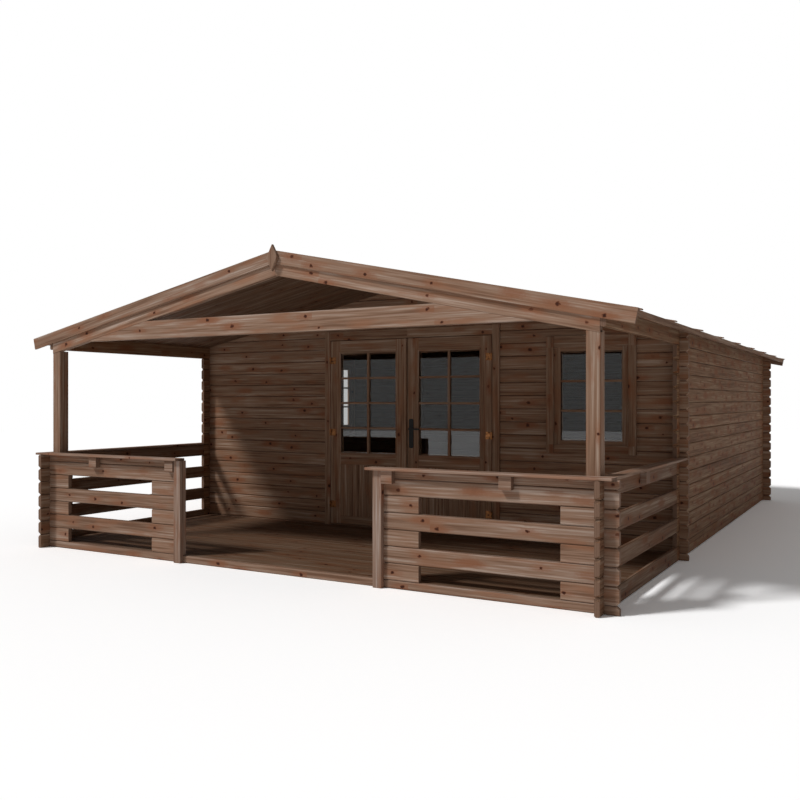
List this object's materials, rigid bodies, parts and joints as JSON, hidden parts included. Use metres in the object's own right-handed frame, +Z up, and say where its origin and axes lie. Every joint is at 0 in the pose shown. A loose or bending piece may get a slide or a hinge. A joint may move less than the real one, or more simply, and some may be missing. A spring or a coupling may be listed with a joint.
{
  "type": "log cabin",
  "caption": "Log cabin with crossed log corners, a low gable roof and a front veranda with a log balustrade, glazed double doors and windows.",
  "frame": {"origin": "middle of the ground plan at ground level, under the centre of the bounding box", "axes": "+Z up, +Y from the veranda to the rear wall, +X to the right seen from the front"},
  "size_m": [5.4, 7.485, 2.433],
  "materials": {
    "logs": "brown stained pine logs, matt, with knots",
    "trim": "brown stained pine boards and posts, matt, with knots",
    "roof": "brown stained roof boards and laths, matt",
    "floor": "brown stained floor boards, matt",
    "joinery": "brown stained door and window joinery, satin",
    "glass": "clear float glass",
    "brass": "dull brass lift-off hinges",
    "iron": "black iron lever and plates"
  },
  "bodies": {
    "cabin": {"front_sill_log": "logs", "front_wall_sill": "logs", "left_front_balustrade": "logs", "right_front_balustrade": "logs", "balustrade_end_posts": "trim", "left_side_rails": "logs", "right_side_rails": "logs", "front_caps": "trim", "side_caps": "trim", "cap_brackets": "trim", "veranda_posts": "trim", "left_rafter": "trim", "right_rafter": "trim", "tie_beam": "trim", "eave_logs": "logs", "left_wall": "logs", "right_wall": "logs", "rear_wall": "logs", "front_wall_left": "logs", "front_wall_right": "logs", "front_gable": "logs", "ridge_beam": "trim", "left_roof_boards": "roof", "right_roof_boards": "roof", "front_left_barge_board": "trim", "front_right_barge_board": "trim", "rear_left_barge_board": "trim", "rear_right_barge_board": "trim", "eave_boards": "trim", "roof_laths": "roof", "gable_finial": "trim", "veranda_floor": "floor", "cabin_floor": "floor", "floor_bearers": "floor", "door_frame": "joinery", "front_window_frame": "joinery", "front_window_glass": "glass", "side_window_frame": "joinery", "side_window_glass": "glass", "frame_hinges": "brass"},
    "left_door": {"left_door_leaf": "joinery", "left_door_glass": "glass", "left_door_hinges": "brass"},
    "right_door": {"right_door_leaf": "joinery", "right_door_glass": "glass", "right_door_hinges": "brass", "door_lock_plates": "iron"},
    "door_lever": {"door_lever": "iron"}
  },
  "joints": [
    {"name": "left_door_hinge", "type": "hinge", "parent": "cabin", "child": "left_door", "pos_m": [-0.865, -1.6315, 0.966], "axis": [0, 0, -1], "range_deg": [0, 160]},
    {"name": "right_door_hinge", "type": "hinge", "parent": "cabin", "child": "right_door", "pos_m": [0.865, -1.6315, 0.966], "axis": [0, 0, 1], "range_deg": [0, 160]},
    {"name": "lever_turn", "type": "hinge", "parent": "right_door", "child": "door_lever", "pos_m": [0.045, -1.6025, 1.012], "axis": [0, 1, 0], "range_deg": [0, 40], "stiffness_Nm_per_rad": 1.5}
  ]
}
